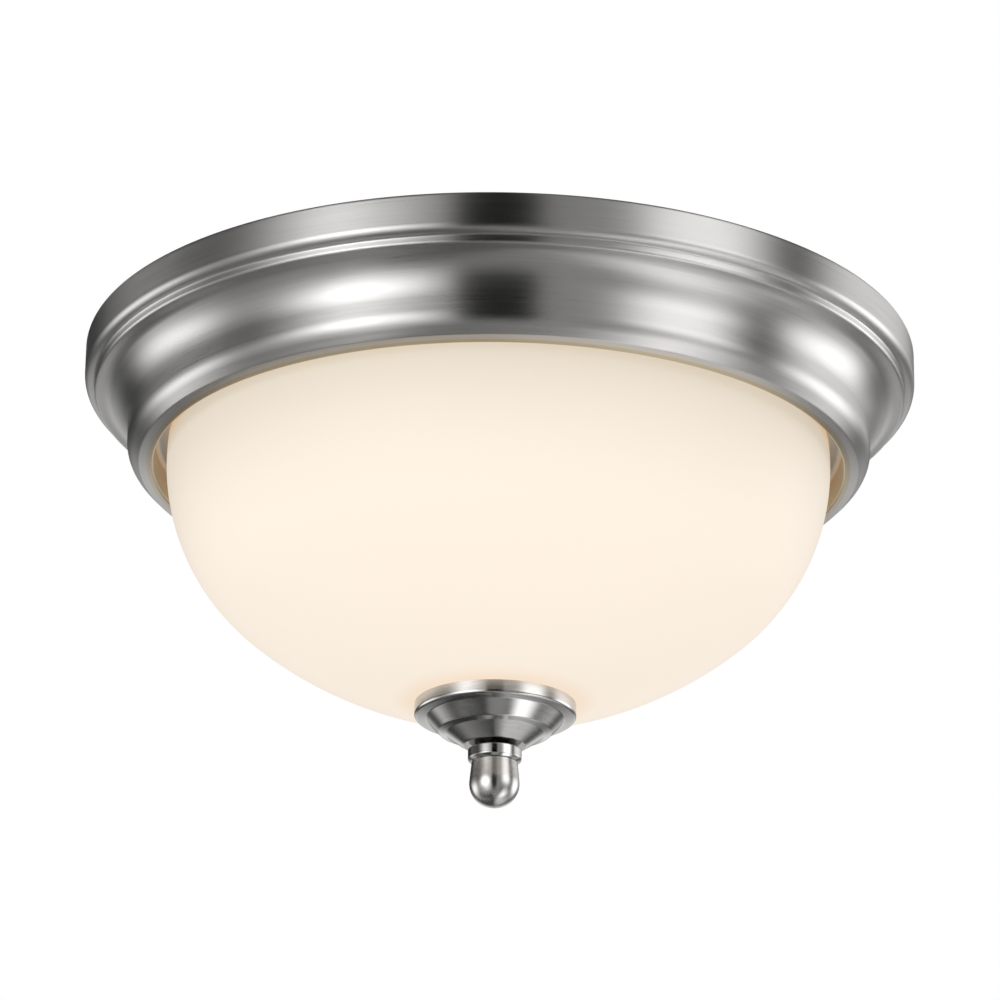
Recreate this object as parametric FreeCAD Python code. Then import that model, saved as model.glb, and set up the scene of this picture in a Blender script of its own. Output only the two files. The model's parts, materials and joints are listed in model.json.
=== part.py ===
import FreeCAD, Part
import math
import os

# Flush mount ceiling light. All sizes in millimetres.
# The origin is the centre of the ceiling plane, +Z points up into the ceiling,
# so the whole light hangs below z = 0. Heights are given as drops below the ceiling.

os.makedirs("parts", exist_ok=True)

# ---- spun pan -------------------------------------------------------------
pan_radius = 165.0
pan_wall = 0.8
rim_flange = 3.2
rim_corner = 1.2
band_drop = 15.2
band_corner = 3.0
bead_radius = 161.0
bead_drop = 18.7
bead_top_corner = 0.9
bead_low_corner = 1.2
cove_radius = 147.2
cove_drop = 23.8
cove_sweep = 19.0
lip_crease_drop = 42.8
lip_crease_corner = 1.8
lip_belly_radius = 141.5
lip_belly_drop = 45.9
lip_belly_sweep = 14.0
hem_radius = 139.9
hem_top_drop = 46.6
hem_top_corner = 0.6
hem_taper = 0.1
hem_outer_corner = 1.55
hem_inner_corner = 1.45
lip_inner_radius = 136.6
lip_drop = 49.0
deck_drop = 36.0
deck_corner = 2.5
rib_outer_radius = 122.0
rib_inner_radius = 112.0
rib_height = 1.8
rib_slope = 2.2
rib_corner = 1.6

# ---- glass bowl -----------------------------------------------------------
glass_wall = 3.0
glass_rim_drop = 36.7
glass_belly_radius = 131.3
glass_belly_drop = 45.8
glass_side_sweep = 82.7
glass_bottom_drop = 146.4
glass_hole_radius = 8.0

# ---- centre rod, strap and nuts --------------------------------------------
rod_radius = 4.85
rod_tip_drop = 177.6
rod_bore_radius = 2.6
tapped_clearance = 0.05
running_clearance = 0.08
strap_length = 118.0
strap_width = 20.0
strap_thickness = 2.5
strap_boss_radius = 8.0
strap_boss_depth = 3.0
slot_spacing = 80.0
slot_length = 26.0
slot_half_width = 2.4
ground_screw_x = 19.0
nut_across_flats = 14.3
nut_height = 4.0
washer_radius = 12.0
washer_thickness = 1.2

# ---- lamps and lampholders ---------------------------------------------------
lamp_axis_y = 38.0
lamp_axis_drop = 72.0
ear_inner_x = 57.0
bracket_thickness = 1.4
bracket_half_width = 16.0
holder_length = 38.0
holder_floor = 8.0
holder_radius = 17.2
holder_waist_radius = 15.9
cavity_radius = 14.3
shell_radius = 14.1
shell_wall = 0.4
base_radius = 13.1
lamp_tip_reach = 10.0
lamp_length = 106.0
globe_radius = 30.0

# ---- finial --------------------------------------------------------------------
cap_wall = 1.0
cap_radius = 31.5
cap_top_drop = 143.7
cap_band_drop = 148.9
collar_radius = 10.4
collar_top_drop = 162.0
collar_drop = 167.0
knob_neck_radius = 8.9
knob_pole_drop = 185.0

ORIGIN = FreeCAD.Vector(0, 0, 0)
UP = FreeCAD.Vector(0, 0, 1)
ALONG = FreeCAD.Vector(1, 0, 0)


# ---- profile helpers -------------------------------------------------------------
# A path is a list of (radius, height, corner) points in the half plane y = 0.
# The corner is the radius of the arc that rounds that point, 0 for a sharp one.

def spot(radius, height):
    return FreeCAD.Vector(radius, 0, height)


def corner_arc(before, point, after, rounding):
    """Start, middle and end of the arc that rounds a corner."""
    back = (before - point).normalize()
    ahead = (after - point).normalize()
    half_angle = back.getAngle(ahead) / 2
    reach = rounding / math.tan(half_angle)
    bisector = (back + ahead).normalize()
    centre = point + bisector * (rounding / math.sin(half_angle))
    return point + back * reach, centre - bisector * rounding, point + ahead * reach


def path_edges(path):
    """Lines and arcs along an open path with rounded corners."""
    points = [spot(radius, height) for radius, height, corner in path]
    edges = []
    pen = points[0]
    for index in range(1, len(path) - 1):
        corner = path[index][2]
        if corner == 0:
            edges.append(Part.makeLine(pen, points[index]))
            pen = points[index]
            continue
        start, middle, end = corner_arc(points[index - 1], points[index], points[index + 1], corner)
        edges.append(Part.makeLine(pen, start))
        edges.append(Part.Arc(start, middle, end).toShape())
        pen = end
    edges.append(Part.makeLine(pen, points[-1]))
    return edges


def offset_path(path, wall):
    """The path moved to its right-hand side by the wall, with its corners kept concentric."""
    count = len(path)
    shifted = []
    for (r0, z0, _), (r1, z1, _) in zip(path, path[1:]):
        length = math.hypot(r1 - r0, z1 - z0)
        along = ((r1 - r0) / length, (z1 - z0) / length)
        side = (along[1] * wall, -along[0] * wall)
        shifted.append((r0 + side[0], z0 + side[1], along))
    result = [(shifted[0][0], shifted[0][1], 0)]
    for index in range(1, count - 1):
        ra, za, a = shifted[index - 1]
        rb, zb, b = shifted[index]
        turn = a[0] * b[1] - a[1] * b[0]
        reach = ((rb - ra) * b[1] - (zb - za) * b[0]) / turn
        corner = path[index][2] + (wall if turn > 0 else -wall)
        result.append((ra + a[0] * reach, za + a[1] * reach, max(corner, 0)))
    last_r, last_z, last = shifted[-1]
    run = math.hypot(path[-1][0] - path[-2][0], path[-1][1] - path[-2][1])
    result.append((last_r + last[0] * run, last_z + last[1] * run, 0))
    return result


def joined_face(edges):
    return Part.Face(Part.Wire(Part.__sortEdges__(edges)))


def sheet_face(path, wall):
    """A strip of sheet metal: the path, its offset and two cut ends."""
    outer = path_edges(path)
    other = offset_path(path, wall)
    inner = path_edges(other)
    first = Part.makeLine(spot(*path[0][:2]), spot(*other[0][:2]))
    last = Part.makeLine(spot(*path[-1][:2]), spot(*other[-1][:2]))
    return joined_face(outer + inner + [first, last])


def closed_face(path):
    """A filled face inside a closed path whose first point has no rounding."""
    return joined_face(path_edges(path + [path[0]]))


def turned(face):
    return face.revolve(ORIGIN, UP, 360)


def disc(radius, height, low, x=0.0, y=0.0):
    return Part.makeCylinder(radius, height, FreeCAD.Vector(x, y, low))


def ring(outer, inner, height, low, x=0.0, y=0.0):
    return disc(outer, height, low, x, y).cut(disc(inner, height, low, x, y))


def hexagon(across_flats, height, low):
    corner = across_flats / math.sqrt(3)
    points = []
    for step in range(7):
        angle = math.radians(60 * step)
        points.append(FreeCAD.Vector(corner * math.cos(angle), corner * math.sin(angle), low))
    return Part.Face(Part.makePolygon(points)).extrude(UP * height)


def lying(shape):
    """Turn a part that was made about +Z so that it lies along +X on the first lamp's axis."""
    shape.rotate(ORIGIN, FreeCAD.Vector(0, 1, 0), 90)
    shape.translate(FreeCAD.Vector(-ear_inner_x, lamp_axis_y, -lamp_axis_drop))
    return shape


def opposite(shape):
    """The same piece on the other side of the rod, half a turn round."""
    copy = shape.copy()
    copy.rotate(ORIGIN, UP, 180)
    return copy


def save(shape, node):
    shape.exportStep("parts/" + node + ".step")
    print(node, "solids", len(shape.Solids), "volume", round(shape.Volume, 1))


# ---- pan ---------------------------------------------------------------------------
def pan_path():
    rib_crown = rib_outer_radius - rib_slope
    rib_foot = rib_inner_radius + rib_slope
    return [
        (pan_radius - rim_flange, 0, 0),
        (pan_radius, 0, rim_corner),
        (pan_radius, -band_drop, band_corner),
        (bead_radius, -band_drop, bead_top_corner),
        (bead_radius, -bead_drop, bead_low_corner),
        (cove_radius, -cove_drop, cove_sweep),
        (cove_radius, -lip_crease_drop, lip_crease_corner),
        (lip_belly_radius, -lip_belly_drop, lip_belly_sweep),
        (hem_radius, -hem_top_drop, hem_top_corner),
        (hem_radius - hem_taper, -lip_drop, hem_outer_corner),
        (lip_inner_radius, -lip_drop, hem_inner_corner),
        (lip_inner_radius, -deck_drop, deck_corner),
        (rib_outer_radius, -deck_drop, rib_corner),
        (rib_crown, -deck_drop + rib_height, rib_corner),
        (rib_foot, -deck_drop + rib_height, rib_corner),
        (rib_inner_radius, -deck_drop, rib_corner),
        (rod_radius + 0.4, -deck_drop, 0),
    ]


wire_hole_x = 74.0
wire_hole_y = 38.0
wire_hole_radius = 6.0
rivet_x = 36.0
rivet_y = rivet_x * lamp_axis_y / ear_inner_x
rivet_radius = 1.6
deck_top = -deck_drop + pan_wall


def ceiling_pan():
    pan = turned(sheet_face(pan_path(), pan_wall))
    for side in (1, -1):
        hole_low = -deck_drop - 1
        pan = pan.cut(disc(wire_hole_radius, 4, hole_low, -side * wire_hole_x, side * wire_hole_y))
        pan = pan.cut(disc(rivet_radius, 4, hole_low, -side * rivet_x, side * rivet_y))
    return pan


# ---- heat pad on top of the deck --------------------------------------------------
pad_radius = 108.0
pad_thickness = 8.0
pad_hole_radius = 14.0
pad_notch_radius = 13.0
pad_rivet_relief = 6.0


def insulation_pad():
    low = deck_top + 0.1
    pad = ring(pad_radius, pad_hole_radius, pad_thickness, low)
    pad = pad.makeFillet(2.0, [edge for edge in pad.Edges if edge.Length > 6 * pad_radius])
    for side in (1, -1):
        pad = pad.cut(disc(pad_notch_radius, pad_thickness, low, -side * wire_hole_x, side * wire_hole_y))
        pad = pad.cut(disc(pad_rivet_relief, pad_thickness, low, -side * rivet_x, side * rivet_y))
    return pad


# ---- mounting strap with its slots and ground screw ------------------------------
ground_screw_radius = 2.1
strap_nose = 3.0


def slot_cutter(x):
    half_run = slot_length / 2 - slot_half_width
    low = -strap_thickness - 1
    depth = strap_thickness + 2
    bar = Part.makeBox(2 * half_run, 2 * slot_half_width, depth)
    bar.translate(FreeCAD.Vector(x - half_run, -slot_half_width, low))
    ends = [disc(slot_half_width, depth, low, x + side * half_run, 0) for side in (1, -1)]
    return bar.multiFuse(ends)


def mounting_strap():
    bar = Part.makeBox(strap_length, strap_width, strap_thickness)
    bar.translate(FreeCAD.Vector(-strap_length / 2, -strap_width / 2, -strap_thickness))
    upright = [edge for edge in bar.Edges if abs(edge.tangentAt(edge.FirstParameter).z) > 0.9]
    bar = bar.makeFillet(strap_nose, upright)
    boss = turned(closed_face([
        (0.5, -0.5, 0),
        (strap_boss_radius, -0.5, 0),
        (strap_boss_radius, -strap_thickness - strap_boss_depth, 1.0),
        (0.5, -strap_thickness - strap_boss_depth, 0),
    ]))
    strap = bar.fuse(boss).removeSplitter()
    for x in (slot_spacing / 2, -slot_spacing / 2):
        strap = strap.cut(slot_cutter(x))
    whole_depth = strap_thickness + strap_boss_depth + 2
    strap = strap.cut(disc(rod_radius + tapped_clearance, whole_depth, 1 - whole_depth))
    return strap.cut(disc(ground_screw_radius, whole_depth, 1 - whole_depth, ground_screw_x, 0))


def pan_head_screw(radius, head_radius, head_height, length):
    """A screw about +Z with its head up, its seat at z = 0, and a slot across the head."""
    screw = turned(closed_face([
        (0, head_height, 0),
        (head_radius, head_height, head_height * 0.6),
        (head_radius, 0, 0),
        (radius, 0, 0),
        (radius, -length, radius * 0.4),
        (0, -length, 0),
    ]))
    slot = Part.makeBox(3 * head_radius, head_radius * 0.28, head_height)
    slot.translate(FreeCAD.Vector(-1.5 * head_radius, -head_radius * 0.14, head_height * 0.45))
    return screw.cut(slot)


def ground_screw():
    screw = pan_head_screw(ground_screw_radius - 0.05, 3.9, 2.2, strap_thickness - 0.1)
    screw.rotate(ORIGIN, ALONG, 180)
    screw.translate(FreeCAD.Vector(ground_screw_x, 0, -strap_thickness))
    return screw


# ---- centre rod and what is threaded or slipped on it ------------------------------
rod_top_drop = 0.6
rod_chamfer = 0.8
boss_low = -strap_thickness - strap_boss_depth
bracket_low = -deck_drop - bracket_thickness
washer_low = bracket_low - washer_thickness
rod_hole_radius = rod_radius + 0.4


def centre_rod():
    return turned(closed_face([
        (rod_bore_radius, -rod_top_drop, 0),
        (rod_radius - rod_chamfer, -rod_top_drop, 0),
        (rod_radius, -rod_top_drop - rod_chamfer, 0),
        (rod_radius, -rod_tip_drop + rod_chamfer, 0),
        (rod_radius - rod_chamfer, -rod_tip_drop, 0),
        (rod_bore_radius, -rod_tip_drop, 0),
    ]))


def hex_nut(low):
    """A hexagon nut with its corners turned back to a cone at both ends."""
    nut = hexagon(nut_across_flats, nut_height, low)
    corner = nut_across_flats / math.sqrt(3)
    flat = nut_across_flats / 2
    bevel = (corner - flat) * 0.6
    barrel = turned(closed_face([
        (0, low, 0),
        (flat, low, 0),
        (corner, low + bevel, 0),
        (corner, low + nut_height - bevel, 0),
        (flat, low + nut_height, 0),
        (0, low + nut_height, 0),
    ]))
    nut = nut.common(barrel)
    return nut.cut(disc(rod_radius + tapped_clearance, nut_height, low))


def strap_nut():
    return hex_nut(boss_low - nut_height)


def deck_washer():
    washer = ring(washer_radius, rod_hole_radius, washer_thickness, washer_low)
    rims = [edge for edge in washer.Edges if edge.Length > 6 * washer_radius]
    return washer.makeChamfer(0.3, rims)


def deck_nut():
    return hex_nut(washer_low - nut_height)


# ---- bracket under the deck, one ear for each lampholder --------------------------------
ear_drop = lamp_axis_drop + holder_radius + 2.0
ear_bend = 3.0
ear_corner = 2.5
ear_wire_hole = 4.5
holder_screw_offset = 9.0
holder_screw_radius = 1.7


def ear_hole(radius, drop):
    """A hole through both ears, seen along X on the first lamp's side."""
    hole = Part.makeCylinder(radius, 4, FreeCAD.Vector(-ear_inner_x - 3, lamp_axis_y, -drop), ALONG)
    return hole.fuse(opposite(hole))


def socket_bracket():
    outside = ear_inner_x + bracket_thickness
    bent_strip = sheet_face([
        (-outside, -ear_drop, 0),
        (-outside, -deck_drop, ear_bend),
        (outside, -deck_drop, ear_bend),
        (outside, -ear_drop, 0),
    ], bracket_thickness)
    reach = lamp_axis_y + bracket_half_width + 5
    bent_strip.translate(FreeCAD.Vector(0, -reach, 0))
    bracket = bent_strip.extrude(FreeCAD.Vector(0, 2 * reach, 0))
    tilt = lamp_axis_y / ear_inner_x
    past = outside + 5
    plan = [(-past, bracket_half_width), (past, bracket_half_width),
            (past, -bracket_half_width), (-past, -bracket_half_width), (-past, bracket_half_width)]
    outline = Part.makePolygon([FreeCAD.Vector(x, y - tilt * x, -ear_drop - 1) for x, y in plan])
    bracket = bracket.common(Part.Face(outline).extrude(UP * (ear_drop + 2)))
    feet = [edge for edge in bracket.Edges
            if abs(edge.CenterOfMass.z + ear_drop) < 0.01 and edge.Length < 2 * bracket_thickness]
    bracket = bracket.Solids[0].makeFillet(ear_corner, feet)
    bracket = bracket.cut(disc(rod_hole_radius, 4, bracket_low - 1))
    for side in (1, -1):
        bracket = bracket.cut(disc(rivet_radius, 4, bracket_low - 1, -side * rivet_x, side * rivet_y))
    bracket = bracket.cut(ear_hole(ear_wire_hole, lamp_axis_drop))
    for side in (1, -1):
        hole = ear_hole(holder_screw_radius, lamp_axis_drop + side * holder_screw_offset)
        bracket = bracket.cut(hole)
    return bracket


def bracket_rivets():
    head = 3.2
    rivet = turned(closed_face([
        (0, bracket_low - 1.4, 0),
        (head, bracket_low - 1.4, 1.0),
        (head, bracket_low, 0),
        (rivet_radius - 0.05, bracket_low, 0),
        (rivet_radius - 0.05, deck_top, 0),
        (head * 0.9, deck_top, 0),
        (head * 0.9, deck_top + 1.1, 0.9),
        (0, deck_top + 1.1, 0),
    ]))
    rivet.translate(FreeCAD.Vector(-rivet_x, rivet_y, 0))
    return Part.makeCompound([rivet, opposite(rivet)])


def wire_bushings():
    """Snap-in bushings that line the deck's two wire holes."""
    bore = 4.2
    bushing = turned(closed_face([
        (bore, -deck_drop - 1.6, 0),
        (8.2, -deck_drop - 1.6, 0.8),
        (8.2, -deck_drop, 0),
        (wire_hole_radius - 0.05, -deck_drop, 0),
        (wire_hole_radius - 0.05, deck_top, 0),
        (wire_hole_radius + 0.7, deck_top, 0),
        (wire_hole_radius - 0.5, deck_top + 2.6, 0),
        (bore, deck_top + 2.6, 0),
    ]))
    bushing.translate(FreeCAD.Vector(-wire_hole_x, wire_hole_y, 0))
    return Part.makeCompound([bushing, opposite(bushing)])


# ---- lampholder, made about +Z with its foot on z = 0 ----------------------------------------
foot_height = 7.5
rim_height = 5.0
terminal_flat = 15.4
terminal_height = 3.9
terminal_screw_radius = 1.5
floor_screw_depth = 5.5


def holder_body():
    body = turned(closed_face([
        (0, 0, 0),
        (holder_radius, 0, 0.8),
        (holder_radius, foot_height, 1.0),
        (holder_waist_radius, foot_height + 1.5, 1.5),
        (holder_waist_radius, holder_length - rim_height - 1.5, 1.5),
        (holder_radius, holder_length - rim_height, 1.0),
        (holder_radius, holder_length, 1.2),
        (cavity_radius, holder_length, 0.8),
        (cavity_radius, holder_floor, 0),
        (0, holder_floor, 0),
    ]))
    for side in (1, -1):
        flat = Part.makeBox(9, 4, foot_height + 2)
        flat.translate(FreeCAD.Vector(-4.5, -2 + side * (terminal_flat + 2), -1))
        body = body.cut(flat)
        start = FreeCAD.Vector(0, side * (terminal_flat + 1), terminal_height)
        body = body.cut(Part.makeCylinder(terminal_screw_radius, 6.2, start, FreeCAD.Vector(0, -side, 0)))
        body = body.cut(disc(holder_screw_radius, floor_screw_depth, -0.1, side * holder_screw_offset, 0))
    return lying(body)


def holder_shell():
    return lying(turned(sheet_face([
        (shell_radius, holder_length - 1.0, 0),
        (shell_radius, holder_floor, 1.4),
        (6.4, holder_floor, 0),
    ], shell_wall)))


def holder_contact():
    """A spring tongue riveted to the floor, bent up towards the lamp's tip."""
    low = holder_floor
    high = lamp_tip_reach - 0.35 - shell_wall
    tongue = sheet_face([
        (4.8, low, 0),
        (1.6, low, 0.9),
        (-1.8, high, 0.9),
        (-4.2, high, 0),
    ], shell_wall)
    tongue.translate(FreeCAD.Vector(0, -3, 0))
    return lying(tongue.extrude(FreeCAD.Vector(0, 6, 0)))


def holder_screws():
    """Two screws through each ear into the foot of its lampholder."""
    screws = []
    for side in (1, -1):
        screw = pan_head_screw(holder_screw_radius - 0.05, 3.1, 1.9, bracket_thickness + 5.0)
        screw.rotate(ORIGIN, ALONG, 180)
        screw.translate(FreeCAD.Vector(side * holder_screw_offset, 0, -bracket_thickness))
        screws.append(lying(screw))
    return Part.makeCompound(screws + [opposite(screw) for screw in screws])


def terminal_screws():
    """A wire terminal on each side of each lampholder's foot."""
    screws = []
    for side in (1, -1):
        screw = pan_head_screw(terminal_screw_radius - 0.05, 2.8, 1.7, 5.0)
        screw.rotate(ORIGIN, ALONG, -90 * side)
        screw.translate(FreeCAD.Vector(0, side * terminal_flat, terminal_height))
        screws.append(lying(screw))
    return Part.makeCompound(screws + [opposite(screw) for screw in screws])


# ---- lamp, made about +Z, its tip above the holder's floor ------------------------------------
tip_height = 1.6
insulator_height = 4.8
base_height = 25.5
base_wall = 0.3
neck_radius = 12.4
neck_reach = 6.0
flare_radius = 15.4
flare_reach = 9.5
globe_wall = 0.9


def lamp_tip():
    low = lamp_tip_reach
    return lying(turned(closed_face([
        (0, low, 0),
        (4.4, low, 0.9),
        (4.8, low + tip_height, 0),
        (0, low + tip_height, 0),
    ])))


def lamp_insulator():
    low = lamp_tip_reach + tip_height
    return lying(turned(closed_face([
        (0, low, 0),
        (5.4, low, 0.5),
        (11.2, low + insulator_height - 1, 0.5),
        (11.2, low + insulator_height, 0),
        (0, low + insulator_height, 0),
    ])))


def lamp_base():
    foot = lamp_tip_reach + tip_height + insulator_height - 0.6
    return lying(turned(sheet_face([
        (base_radius, lamp_tip_reach + base_height, 0),
        (base_radius, foot + 1.6, 1.2),
        (11.7, foot, 0),
    ], base_wall)))


def globe_edges(inset, foot):
    """The globe's outline from its neck to its crown, moved inwards by the inset."""
    middle = lamp_tip_reach + lamp_length - globe_radius
    collar = lamp_tip_reach + base_height
    bulge = globe_radius - inset
    flare = (flare_radius - inset, collar + flare_reach)
    distance = math.hypot(flare[0], middle - flare[1])
    tangent = math.asin(bulge / distance) + math.atan2(flare[0], middle - flare[1])
    touch_r = bulge * math.cos(tangent)
    touch_z = middle - bulge * math.sin(tangent)
    line = path_edges([
        (neck_radius - inset, foot, 0),
        (neck_radius - inset, collar + 1.0, 2.0),
        (flare[0], flare[1], 12.0),
        (touch_r, touch_z, 0),
    ])
    half_way = math.radians(-45)
    crown = spot(0, middle + bulge)
    side = spot(bulge * math.cos(half_way), middle - bulge * math.sin(half_way))
    line.append(Part.Arc(spot(touch_r, touch_z), side, crown).toShape())
    return line


def lamp_globe():
    foot = lamp_tip_reach + base_height - neck_reach
    crown = lamp_tip_reach + lamp_length
    ends = [
        Part.makeLine(spot(neck_radius, foot), spot(neck_radius - globe_wall, foot)),
        Part.makeLine(spot(0, crown), spot(0, crown - globe_wall)),
    ]
    face = joined_face(globe_edges(0, foot) + globe_edges(globe_wall, foot) + ends)
    return lying(turned(face))


# ---- glass bowl and the bush in its hole ----------------------------------------------------------
side_centre = glass_belly_radius - glass_side_sweep
bowl_depth = glass_bottom_drop - glass_belly_drop
bottom_sweep = (side_centre ** 2 + bowl_depth ** 2 - glass_side_sweep ** 2) / (2 * (bowl_depth - glass_side_sweep))
bottom_centre = bottom_sweep - glass_bottom_drop


def bowl_height(radius, inset):
    """Height of the bowl's bottom curve at a radius."""
    return bottom_centre - math.sqrt((bottom_sweep - inset) ** 2 - radius ** 2)


def bowl_edges(inset):
    """Side arc and bottom arc of the bowl, tangent to each other, moved inwards by the inset."""
    side = glass_side_sweep - inset
    bottom = bottom_sweep - inset
    rim_angle = math.asin((glass_belly_drop - glass_rim_drop - glass_wall / 2) / side)
    join_angle = -math.atan2(bottom_centre + glass_belly_drop, side_centre)
    hole_angle = -math.acos(glass_hole_radius / bottom)

    def on_side(angle):
        return spot(side_centre + side * math.cos(angle), -glass_belly_drop + side * math.sin(angle))

    def on_bottom(angle):
        return spot(bottom * math.cos(angle), bottom_centre + bottom * math.sin(angle))

    upper = Part.Arc(on_side(rim_angle), on_side((rim_angle + join_angle) / 2), on_side(join_angle))
    lower = Part.Arc(on_bottom(join_angle), on_bottom((join_angle + hole_angle) / 2), on_bottom(hole_angle))
    return [upper.toShape(), lower.toShape()]


def glass_bowl():
    outer = bowl_edges(0)
    inner = bowl_edges(glass_wall)
    rim_out = outer[0].valueAt(outer[0].FirstParameter)
    rim_in = inner[0].valueAt(inner[0].FirstParameter)
    hole_out = outer[1].valueAt(outer[1].LastParameter)
    hole_in = inner[1].valueAt(inner[1].LastParameter)
    crest = (rim_out + rim_in) * 0.5 + UP * (glass_wall / 2)
    fire_polished_rim = Part.Arc(rim_out, crest, rim_in).toShape()
    return turned(joined_face(outer + inner + [fire_polished_rim, Part.makeLine(hole_out, hole_in)]))


grommet_bore = rod_radius + 0.35
grommet_flange = 11.5


def bowl_grommet():
    seat = bowl_height(grommet_flange, glass_wall) + 0.05
    return turned(closed_face([
        (grommet_bore, seat + 1.6, 0),
        (grommet_flange, seat + 1.6, 0.7),
        (grommet_flange, seat, 0),
        (glass_hole_radius - 0.1, seat, 0),
        (glass_hole_radius - 0.1, bowl_height(glass_hole_radius, 0) + 0.2, 0.4),
        (grommet_bore, bowl_height(glass_hole_radius, 0) + 0.2, 0),
    ]))


# ---- stepped cap, its felt ring, collar and knob ------------------------------------------------------
cap_band_corner = 1.2
cap_ledge_radius = 27.0
cap_ledge_drop = 149.4
cap_step_radius = 21.9
cap_step_drop = 154.8
cap_tread = 2.7
cap_tread_fall = 0.8
cap_foot_radius = 12.2
cap_foot_drop = 160.4
slip_bore = rod_radius + running_clearance


def finial_cap():
    return turned(sheet_face([
        (cap_radius, -cap_top_drop, 0),
        (cap_radius, -cap_band_drop, cap_band_corner),
        (cap_ledge_radius, -cap_ledge_drop, 0.5),
        (cap_step_radius, -cap_step_drop, 1.1),
        (cap_step_radius - cap_tread, -cap_step_drop - cap_tread_fall, 0.5),
        (cap_foot_radius, -cap_foot_drop, 1.3),
        (slip_bore, -cap_foot_drop, 0),
    ], cap_wall))


def cap_gasket():
    """A felt ring that stands on the cap's ledge and cushions the glass."""
    outer = cap_radius - cap_wall - 0.05
    inner = cap_ledge_radius - 0.6
    foot = -cap_ledge_drop + cap_wall + 0.25
    return turned(closed_face([
        (inner, foot, 0),
        (inner, bowl_height(inner, 0) - 0.35, 0),
        (outer, bowl_height(outer, 0) - 0.35, 0),
        (outer, foot + 0.8, 0.6),
        (outer - 0.8, foot, 0.3),
    ]))


def finial_collar():
    return turned(closed_face([
        (slip_bore, -cap_foot_drop - 0.3, 0),
        (7.6, -cap_foot_drop - 0.3, 0),
        (7.6, -collar_top_drop, 0),
        (collar_radius, -collar_top_drop, 0.5),
        (collar_radius, -collar_drop + 1.0, 0.3),
        (knob_neck_radius + 0.6, -collar_drop, 0.2),
        (slip_bore, -collar_drop, 0),
    ]))


knob_corner_radius = 10.74  # where the flared side would meet the flat below it, before the round end
knob_end_round = 9.3


def finial_knob():
    return turned(closed_face([
        (slip_bore, -collar_drop, 0),
        (knob_neck_radius, -collar_drop, 0.4),
        (knob_corner_radius, -knob_pole_drop, knob_end_round),
        (0, -knob_pole_drop, 0),
        (0, -rod_tip_drop - 0.8, 0),
        (slip_bore, -rod_tip_drop - 0.8, 0),
    ]))


# ---- all nodes -----------------------------------------------------------------------------------------------
def save_single_pieces():
    save(ceiling_pan(), "ceiling_pan")
    save(insulation_pad(), "insulation_pad")
    save(mounting_strap(), "mounting_strap")
    save(ground_screw(), "ground_screw")
    save(centre_rod(), "centre_rod")
    save(strap_nut(), "strap_nut")
    save(deck_washer(), "deck_washer")
    save(deck_nut(), "deck_nut")
    save(socket_bracket(), "socket_bracket")
    save(bracket_rivets(), "bracket_rivets")
    save(wire_bushings(), "wire_bushings")
    save(holder_screws(), "socket_screws")
    save(terminal_screws(), "terminal_screws")
    save(glass_bowl(), "glass_bowl")
    save(bowl_grommet(), "bowl_grommet")
    save(finial_cap(), "finial_cap")
    save(cap_gasket(), "cap_gasket")
    save(finial_collar(), "finial_collar")
    save(finial_knob(), "finial_knob")


def save_paired_pieces():
    pieces = {
        "socket_{}_body": holder_body(),
        "socket_{}_shell": holder_shell(),
        "socket_{}_contact": holder_contact(),
        "lamp_{}_globe": lamp_globe(),
        "lamp_{}_base": lamp_base(),
        "lamp_{}_insulator": lamp_insulator(),
        "lamp_{}_tip": lamp_tip(),
    }
    for name, shape in pieces.items():
        save(shape, name.format(1))
        save(opposite(shape), name.format(2))


save_single_pieces()
save_paired_pieces()
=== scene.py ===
import json
import math

import bmesh
import bpy
import numpy as np
from mathutils import Matrix, Vector


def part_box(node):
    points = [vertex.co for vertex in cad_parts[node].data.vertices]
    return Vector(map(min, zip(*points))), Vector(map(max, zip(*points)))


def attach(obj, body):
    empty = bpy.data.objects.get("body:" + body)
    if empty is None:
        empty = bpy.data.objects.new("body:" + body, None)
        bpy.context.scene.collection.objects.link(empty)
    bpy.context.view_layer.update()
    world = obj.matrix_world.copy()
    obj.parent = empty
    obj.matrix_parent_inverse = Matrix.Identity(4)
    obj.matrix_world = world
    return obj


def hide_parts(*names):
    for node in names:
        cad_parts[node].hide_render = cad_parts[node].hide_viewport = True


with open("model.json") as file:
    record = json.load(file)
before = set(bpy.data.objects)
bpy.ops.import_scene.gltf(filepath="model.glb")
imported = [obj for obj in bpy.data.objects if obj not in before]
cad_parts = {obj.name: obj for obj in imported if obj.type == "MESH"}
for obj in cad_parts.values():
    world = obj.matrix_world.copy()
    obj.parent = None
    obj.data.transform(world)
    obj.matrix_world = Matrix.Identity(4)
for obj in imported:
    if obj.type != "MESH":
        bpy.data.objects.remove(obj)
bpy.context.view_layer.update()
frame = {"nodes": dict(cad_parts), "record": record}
scene = bpy.context.scene
nodes = frame["nodes"]
mm = 0.001
print("frame loaded,", len(nodes), "nodes")


# Outlines are lists of (radius, height, corner rounding) in millimetres, in the half plane y = 0.
outlineStep = math.radians(9)  # turn between two points of a rounded corner
guard = 0.35  # extra points this close to a corner keep long runs flat under smooth shading


def cornerPoints(before, point, after, rounding):
    back = (before - point).normalized()
    ahead = (after - point).normalized()
    half = back.angle(ahead) / 2
    turn = math.pi - 2 * half
    reach = rounding / math.tan(half)
    centre = point + (back + ahead).normalized() * (rounding / math.sin(half))
    start = point + back * reach - centre
    sense = 1 if back.cross(ahead) < 0 else -1
    count = max(2, math.ceil(turn / outlineStep))
    points = []
    for step in range(count + 1):
        angle = sense * turn * step / count
        c, s = math.cos(angle), math.sin(angle)
        points.append(centre + Vector((c * start.x - s * start.y, s * start.x + c * start.y)))
    return points


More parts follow.
